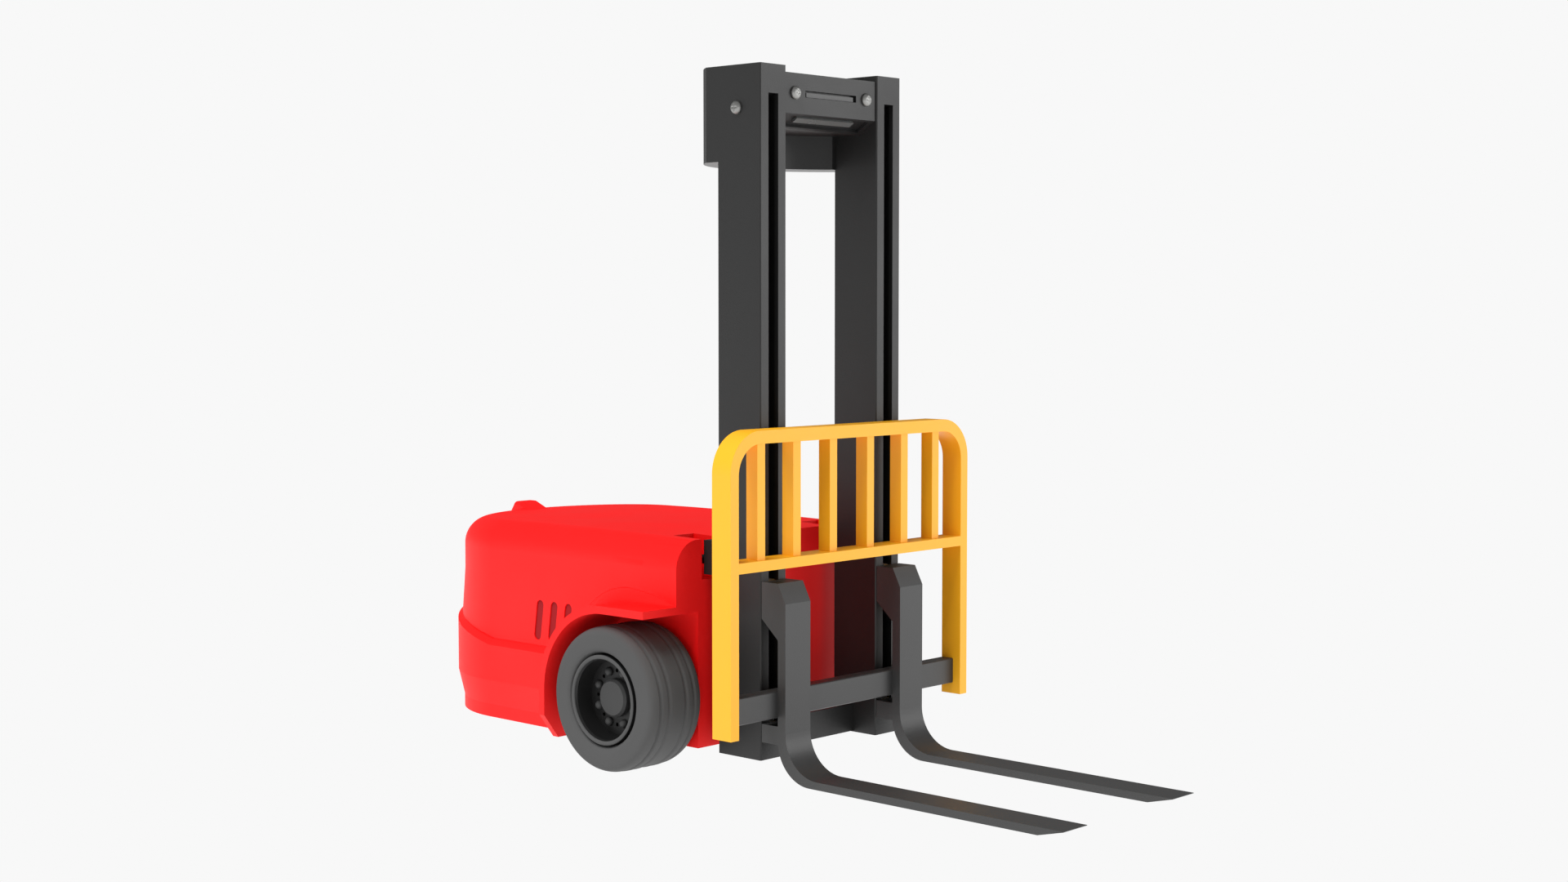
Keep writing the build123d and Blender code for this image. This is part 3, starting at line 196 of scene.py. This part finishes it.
def moulded(name, colour, roughness, specular, grain_mm=0.35, grain=0.25, drift=0.05):
    """Moulded plastic: slow drift in colour and gloss from melt flow, with a fine grain in bump."""
    material = bpy.data.materials.new(name)
    material.use_nodes = True
    tree = material.node_tree
    shader = tree.nodes["Principled BSDF"]
    spot = node(tree, "TexCoord", {}).outputs["Object"]
    flow = node(tree, "TexNoise", {}, Vector=spot, Scale=FLOW_SCALE, Detail=3.0).outputs["Fac"]
    base = np.array(linear(colour))
    dark, light = base * (1 - drift), np.minimum(base * (1 + drift), 1)
    dark[3] = light[3] = 1
    tint = node(tree, "Mix", {"data_type": "RGBA"}, i0=flow, i6=dark.tolist(), i7=light.tolist())
    tree.links.new(tint.outputs[2], shader.inputs["Base Color"])
    # The noise lies mostly between 0.3 and 0.7.
    gloss = node(
        tree, "MapRange", {}, Value=flow, From_Min=0.3, From_Max=0.7,
        To_Min=roughness - GLOSS_DRIFT, To_Max=roughness + GLOSS_DRIFT,
    )
    tree.links.new(gloss.outputs["Result"], shader.inputs["Roughness"])
    shader.inputs["Specular IOR Level"].default_value = specular
    pits = node(tree, "TexNoise", {}, Vector=spot, Scale=1000 / grain_mm, Detail=2.0)
    bump = node(
        tree, "Bump", {}, Height=pits.outputs["Fac"], Strength=grain, Distance=GRAIN_DEPTH
    )
    tree.links.new(bump.outputs["Normal"], shader.inputs["Normal"])
    return material


def dress(names, material):
    """Gives each named piece its one material."""
    for name in names:
        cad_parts[name].data.materials.clear()
        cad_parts[name].data.materials.append(material)


# Satin red: nearly all of the light that comes back is coloured.
red_abs = moulded("moulded_red_abs", "#f80e0e", 0.6, 0.35)
dress(["lower_body", "fender_right", "fender_left", "hood", "hood_scoop"], red_abs)

# ---- Fender roots -------------------------------------------------------------
# The inner edge of each fender sweeps up on to the hood's side in a hollow curve,
# part of the same red moulding. It dies out at the fender's front and down its back.
ROOT_RADIUS = 0.0045
ROOT_END_ANGLE = math.radians(78)
ROOT_SWELL_POWER = 0.8
ROOT_SINK = 0.0003
ROOT_STEPS = 96
ROOT_ARC_STEPS = 16
HOOD_SIDE_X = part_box("hood")[1].x


def fender_root(side, sign):
    """Hollow quarter circle of radius R sin(pi s)^0.8 along the fender's line at s of its run.

    The line is level over the front of the wheel, then an arc about the axle; the curve's points
    lie R(1 - cos p) out from the hood and R(1 - sin p) off the line, for p from 0 to a quarter
    turn."""
    low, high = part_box(f"fender_{side}")
    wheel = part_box(f"tyre_{side}")
    axle_y, axle_z = (wheel[0].y + wheel[1].y) / 2, (wheel[0].z + wheel[1].z) / 2
    arch, level = high.z - axle_z, axle_y - low.y
    s = np.linspace(0, 1, ROOT_STEPS)[:, None]
    run = s * (level + arch * ROOT_END_ANGLE)
    angle = np.clip((run - level) / arch, 0, None)
    swell = np.sin(np.pi * s) ** ROOT_SWELL_POWER
    swell[[0, -1]] = 0
    p = np.linspace(0, np.pi / 2, ROOT_ARC_STEPS)[None, :]
    # The last point of each section lies sunk in the fender and the hood's side.
    sunk = -ROOT_SINK * swell
    out = np.concatenate([swell * ROOT_RADIUS * (1 - np.cos(p)), sunk], 1)
    rise = np.concatenate([swell * ROOT_RADIUS * (1 - np.sin(p)), sunk], 1)
    y = np.where(run < level, low.y + run, axle_y + arch * np.sin(angle)) + rise * np.sin(angle)
    z = axle_z + (arch + rise) * np.cos(angle)
    points = np.stack([sign * (HOOD_SIDE_X + out), y, z], -1)
    if sign > 0:
        points = points[:, ::-1]
    return mesh_of_grid(f"{side}_fender_root", points, wrap_v=True)


for side, sign in (("right", -1.0), ("left", 1.0)):
    root = in_scene(f"{side}_fender_root", fender_root(side, sign))
    root.data.materials.append(red_abs)
    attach(root, "chassis")

# ---- Vent panels --------------------------------------------------------------
# Each side of the hood has three slanted slots. One panel of a duller, darker red lies
# behind them, and its raised pads show in them as three flat stripes.
vent_abs = moulded("moulded_dull_red_abs", "#9c2226", 0.75, 0.1)
dress(["vent_panel_right", "vent_panel_left"], vent_abs)

# ---- Base plate, ballast and their screws -------------------------------------
# A flat black ABS plate closes the body from below, held by six self-tapping screws.
# A zinc-plated steel block sits on it at the tail, so that the forks can carry weight.
black_abs = moulded("moulded_black_abs", "#1b1b1b", 0.55, 0.4, grain=0.4)
dress(["base_plate"], black_abs)
STREAK_SCALE = 900.0
STREAK_CONTRAST = 0.3
STREAK_STRENGTH = 0.1
STREAK_DEPTH = 0.00005


def metal(name, colour, roughness, streak):
    """Bare or plated metal: fine streaks drawn out along one direction, in gloss and bump."""
    material = bpy.data.materials.new(name)
    material.use_nodes = True
    tree = material.node_tree
    shader = tree.nodes["Principled BSDF"]
    spot = node(tree, "TexCoord", {}).outputs["Object"]
    drawn = node(tree, "Mapping", {}, Vector=spot, Scale=streak).outputs["Vector"]
    lines = node(tree, "TexNoise", {}, Vector=drawn, Scale=STREAK_SCALE, Detail=3.0).outputs["Fac"]
    gloss = node(
        tree, "MapRange", {}, Value=lines,
        To_Min=roughness * (1 - STREAK_CONTRAST), To_Max=roughness * (1 + STREAK_CONTRAST),
    )
    tree.links.new(gloss.outputs["Result"], shader.inputs["Roughness"])
    bump = node(tree, "Bump", {}, Height=lines, Strength=STREAK_STRENGTH, Distance=STREAK_DEPTH)
    tree.links.new(bump.outputs["Normal"], shader.inputs["Normal"])
    shader.inputs["Base Color"].default_value = linear(colour)
    shader.inputs["Metallic"].default_value = 1.0
    return material


# Zinc: a cool, slightly cloudy grey.
zinc_steel = metal("zinc_plated_steel", "#a4a7aa", 0.4, (1, 1, 1))
dress(["ballast_block", "base_screws"], zinc_steel)

# ---- Steering swivel and rear wheels -------------------------------------------
# The small twin rear wheels turn on a steel pin in a black acetal yoke, which hangs
# by one screw and washer from the roof of a round housing, and swivels freely.
acetal = moulded("black_acetal", "#202020", 0.4, 0.5, grain=0.15)
dress(["swivel_housing", "steer_yoke", "rear_hub_right", "rear_hub_left"], acetal)
dress(["kingpin_washer", "kingpin_screw"], zinc_steel)
# Drawn wire: the streaks run along the pin.
bright_steel = metal("drawn_bright_steel", "#b0b1b2", 0.3, (0.08, 1, 1))
dress(["rear_axle_pin", "mast_pivot_pin", "front_axle", "axle_push_nuts"], bright_steel)

# ---- Tyres ------------------------------------------------------------------------
# Moulded black rubber, greyed by its own bloom: a nearly flat sidewall, round
# shoulders and five shallow grooves. It is stretched over the rim and holds by grip.
RIM_SEAT = 0.0133
TYRE_POWER = 5
PROFILE_STEPS = 300
TURN_STEPS = 160
BEAD_RADIUS = 0.0142
BEAD_WIDTH = 0.0004
SIDEWALL_START = 0.7
SIDEWALL_INSET = 0.012
GROOVE_COUNT = 5
GROOVE_DEPTH = 0.0006
GROOVE_WIDTH = 0.00045
GROOVE_PITCH = 0.0034


def lathe(name, profile_x, profile_r, centre):
    """Turns the closed profile (x, r) about the line through centre along X.

    At angle a, y is cy - r sin a and z is cz + r cos a."""
    angle = np.linspace(0, 2 * np.pi, TURN_STEPS, endpoint=False)[None, :]
    x, r = profile_x[:, None] + 0 * angle, profile_r[:, None]
    points = np.stack([x, centre[1] - r * np.sin(angle), centre[2] + r * np.cos(angle)], -1)
    return mesh_of_grid(name, points, wrap_u=True, wrap_v=True)


def place(name, mesh, body, material, replaced):
    """Puts a finished mesh on its body in place of the plain solid, with its material."""
    piece = in_scene(name, mesh)
    mesh.materials.append(material)
    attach(piece, body)
    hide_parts(replaced)


def tyre_profile(low, high, seat, outer):
    """Closed rounded box of power 5 between the seat and the tread, less bell-shaped grooves.

    Each groove is exp(-((x - x0) / width)^2) of its depth, at one pitch from the next."""
    turn = np.linspace(0, 2 * np.pi, PROFILE_STEPS, endpoint=False)
    cos, sin = np.cos(turn), np.sin(turn)
    half = (high - low) / 2
    power = 2 / TYRE_POWER
    x = half * np.sign(cos) * np.abs(cos) ** power
    r = (outer + seat) / 2 + (outer - seat) / 2 * np.sign(sin) * np.abs(sin) ** power
    number = (np.arange(GROOVE_COUNT) - GROOVE_COUNT // 2)[:, None]
    cut = np.exp(-(((x[None, :] - number * GROOVE_PITCH) / GROOVE_WIDTH) ** 2)).sum(0)
    r = r - GROOVE_DEPTH * cut * (sin > 0)
    # A thin bead stands round the foot of each sidewall.
    bead = np.exp(-(((r - BEAD_RADIUS) / BEAD_WIDTH) ** 2)) * (np.abs(x) > SIDEWALL_START * half)
    x = x * (1 - SIDEWALL_INSET * (1 - bead))
    return (low + high) / 2 + x, r


# Rubber bloom: soft grey mottling a few millimetres wide, rough all over.
rubber = moulded("bloomed_black_rubber", "#525252", 0.8, 0.25, grain_mm=0.3, grain=0.3, drift=0.12)
for side in ("right", "left"):
    low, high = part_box(f"tyre_{side}")
    x, r = tyre_profile(low.x, high.x, RIM_SEAT, (high.z - low.z) / 2)
    tyre = lathe(f"{side}_tyre", x, r, (low + high) / 2)
    place(f"{side}_tyre", tyre, f"front_wheel_{side}", rubber, f"tyre_{side}")
dress(["rear_tyre_right", "rear_tyre_left"], rubber)

# ---- Rims, hub caps and lug nuts ----------------------------------------------------
# Each rim is one deep dish of ABS, pressed into the tyre, whose inner edge
# stands round it as a thin lip. A round cap covers the axle's end, with a ring of
# eight domed nuts about it, moulded in the same colour. The rim's near-black colour
# is painted shade for its deep recess, darker than its own grey plastic.
rim_abs_painted_recess_shade = moulded("charcoal_abs_painted_recess_shade", "#161616", 0.45, 0.4)
dress(["rim_right", "rim_left"], rim_abs_painted_recess_shade)
LIP_RADIUS = 0.0127
LIP_WIDTH = 0.0006
LIP_HEIGHT = 0.0004
LIP_INSET = 0.0005
LIP_STEPS = 24
for side, sign in (("right", -1.0), ("left", 1.0)):
    low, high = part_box(f"tyre_{side}")
    turn = np.linspace(0, 2 * np.pi, LIP_STEPS, endpoint=False)
    x = (high.x if sign > 0 else low.x) - sign * (LIP_INSET - LIP_HEIGHT * np.cos(turn))
    r = LIP_RADIUS + LIP_WIDTH * np.sin(turn)
    order = int(sign)
    lip = lathe(f"{side}_rim_lip", x[::order], r[::order], (low + high) / 2)
    ring = in_scene(f"{side}_rim_lip", lip)
    ring.data.materials.append(rubber)
    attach(ring, f"front_wheel_{side}")
cap_abs = moulded("moulded_satin_charcoal_abs", "#3b3b3b", 0.5, 0.4)
dress(["hub_cap_right", "hub_cap_left"], cap_abs)
NUT_CIRCLE = 0.00805
NUT_RADIUS = 0.00135
NUT_HEIGHT = 0.0014
NUT_SHANK_RADIUS = NUT_RADIUS * 0.4
NUT_SHANK_LENGTH = 0.0003
NUT_COUNT = 8
DOME_POWER = 2.6
DOME_STEPS = 22
DOME_SPOKES = 48
CROSS_ARM = 0.12
CROSS_REACH = 0.5
CROSS_EDGE = 25
SAME_POINT = 1e-7


def turned_studs(name, centres, axis, radius, height, shank, length, cross=0.0):
    """Domed heads on shanks, closed at both poles, one for each centre of the head's foot.

    The dome stands height times (1 - q^2.6)^0.5 over its foot at q of the radius, less two crossed
    grooves; the shank goes down from it along the axis."""
    q = np.linspace(0, 1, DOME_STEPS)
    rho = np.concatenate([q * radius, [shank, shank, 0]])[:, None]
    along = np.concatenate([height * np.sqrt(1 - q**DOME_POWER), [0, -length, -length]])[:, None]
    a = np.linspace(0, 2 * np.pi, DOME_SPOKES, endpoint=False)[None, :]
    u, v = rho * np.cos(a), rho * np.sin(a)
    arm = CROSS_ARM * radius
    arms = np.clip(np.exp(-((u / arm) ** 2)) + np.exp(-((v / arm) ** 2)), 0, 1)
    inner = 1 / (1 + np.exp((rho / radius - CROSS_REACH) * CROSS_EDGE))
    w = along - cross * arms * inner * (along > 0)
    first = np.roll(axis, 1)
    second = np.cross(axis, first)
    shape = u[..., None] * first + v[..., None] * second + w[..., None] * axis
    rings, spokes = u.shape
    points = np.asarray(centres)[:, None, None, :] + shape[None]
    i, j, k = np.meshgrid(
        np.arange(rings - 1), np.arange(spokes), np.arange(len(centres)), indexing="ij"
    )
    j1 = (j + 1) % spokes
    corner = k * rings * spokes + i * spokes
    corners = [corner + j, corner + spokes + j, corner + spokes + j1, corner + j1]
    quads = np.stack(corners, -1).reshape(-1, 4)
    mesh = bpy.data.meshes.new(name)
    mesh.from_pydata(points.reshape(-1, 3).tolist(), [], quads.tolist())
    work = bmesh.new()
    work.from_mesh(mesh)
    bmesh.ops.remove_doubles(work, verts=work.verts, dist=SAME_POINT)
    work.to_mesh(mesh)
    work.free()
    mesh.polygons.foreach_set("use_smooth", np.ones(len(mesh.polygons), bool))
    return mesh


for side, sign in (("right", -1.0), ("left", 1.0)):
    low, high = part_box(f"tyre_{side}")
    nut_low, nut_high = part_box(f"lug_nuts_{side}")
    foot_x = nut_low.x if sign > 0 else nut_high.x
    turn = 2 * np.pi * (np.arange(NUT_COUNT) + 0.5) / NUT_COUNT
    y = (low.y + high.y) / 2 + NUT_CIRCLE * np.sin(turn)
    z = (low.z + high.z) / 2 + NUT_CIRCLE * np.cos(turn)
    nuts = turned_studs(
        f"{side}_nuts", np.stack([np.full(NUT_COUNT, foot_x), y, z], 1),
        np.array([sign, 0.0, 0.0]), NUT_RADIUS, NUT_HEIGHT, NUT_SHANK_RADIUS, NUT_SHANK_LENGTH,
    )
    place(f"{side}_nuts", nuts, f"front_wheel_{side}", cap_abs, f"lug_nuts_{side}")

# ---- Mast foot: pivot bracket, tilt brackets and tilt rods ----------------------------
# The mast tips on a steel pin through a black bracket between the front wheels. Two
# blackened steel rods run back from brackets on its columns into the hood, where a
# rubber ring on each one stops the forward tilt.
dress(["mast_pivot_bracket", "tilt_bracket_right", "tilt_bracket_left"], black_abs)
# Oxide black: dark and oily, with a dull sheen along the rod.
black_steel = metal("oxide_blackened_steel", "#2c2c2e", 0.45, (1, 0.08, 1))
dress(["tilt_rod_right", "tilt_rod_left"], black_steel)
soft_rubber = moulded("black_nitrile_rubber", "#1a1a1a", 0.7, 0.3, grain=0.2)
dress(["tilt_stop_rings"], soft_rubber)

# ---- Mast: columns, beam, head and bottom tie --------------------------------------------
# Two slotted columns of charcoal ABS, joined by a tie at the foot and a beam at the
# head, with a round-backed cover and its lid behind the beam. The satin finish darkens
# the sides and picks up the light ahead of the mast on its front faces.
mast_abs = moulded("moulded_mast_charcoal_abs", "#1c1c1c", 0.42, 0.45, drift=0.08)
dress(["mast_column_right", "mast_column_left", "top_beam", "bottom_tie"], mast_abs)
dress(["mast_head_cover", "mast_head_lid"], mast_abs)

# ---- Beam inlay and work light ---------------------------------------------------------
# A thin strip is pressed into a slot in the beam's face. Under the beam, a long smoked
# polycarbonate lens lies in a shallow tray, smooth where the beam is grained.
inlay_abs = moulded("moulded_strip_abs", "#404040", 0.4, 0.5, grain=0.1)
dress(["beam_inlay"], inlay_abs)
smoked_lens = moulded("smoked_polycarbonate", "#5e605f", 0.25, 0.5, grain=0.03)
dress(["work_light_lens"], smoked_lens)

# ---- Mast and beam screws ------------------------------------------------------------------
# Nickel-plated pan-head screws, tapped straight into the plastic: two through the
# beam's face and one through each column's side, with soft cross recesses.
nickel = metal("satin_nickel_plate", "#9a9a98", 0.5, (1, 1, 1))
HEAD_RADIUS = 0.0020
HEAD_HEIGHT = 0.0014
SHANK_RADIUS = 0.00075
BEAM_SHANK_LENGTH = 0.005
SIDE_SHANK_LENGTH = 0.004
CROSS_DEPTH = 0.00018

low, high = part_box("beam_screws")
head_x = high.x - (high.z - low.z) / 2
heads = turned_studs(
    "beam_screw_heads",
    [(sign * head_x, low.y + HEAD_HEIGHT, (low.z + high.z) / 2) for sign in (-1, 1)],
    np.array([0.0, -1.0, 0.0]), HEAD_RADIUS, HEAD_HEIGHT, SHANK_RADIUS, BEAM_SHANK_LENGTH,
    CROSS_DEPTH,
)
place("beam_screw_heads", heads, "mast", nickel, "beam_screws")
low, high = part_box("side_screws")
middle = ((low.y + high.y) / 2, (low.z + high.z) / 2)
for side, sign, x in (("right", -1.0, low.x + HEAD_HEIGHT), ("left", 1.0, high.x - HEAD_HEIGHT)):
    head = turned_studs(
        f"{side}_side_screw", [(x, *middle)],
        np.array([sign, 0.0, 0.0]), HEAD_RADIUS, HEAD_HEIGHT, SHANK_RADIUS, SIDE_SHANK_LENGTH,
        CROSS_DEPTH,
    )
    place(f"{side}_side_screw", head, "mast", nickel, "side_screws")

# ---- Carriage: guide shoes, forks, cross bar and fork screws -------------------------------
# Natural acetal shoes, pressed into the forks' arms, run in the column slots. The forks
# are one-piece charcoal ABS mouldings, and small plated screws hold them to the cross
# bar from behind.
natural_acetal = moulded("natural_acetal", "#d6d4cb", 0.4, 0.5, grain=0.15)
dress(["guide_shoes_right", "guide_shoes_left"], natural_acetal)
fork_abs = moulded("moulded_fork_charcoal_abs", "#363636", 0.42, 0.5, drift=0.08)
dress(["fork_right", "fork_left", "carriage_bar"], fork_abs)
dress(["fork_screws"], zinc_steel)

# ---- Load backrest ---------------------------------------------------------------------------
# One yellow ABS moulding: an arched frame with a cross rail and six bars, whose uprights
# hold the ends of the carriage's cross bar. Its satin skin stays warm in colour.
yellow_abs = moulded("moulded_yellow_abs", "#ffb41c", 0.45, 0.5)
dress(["load_backrest"], yellow_abs)
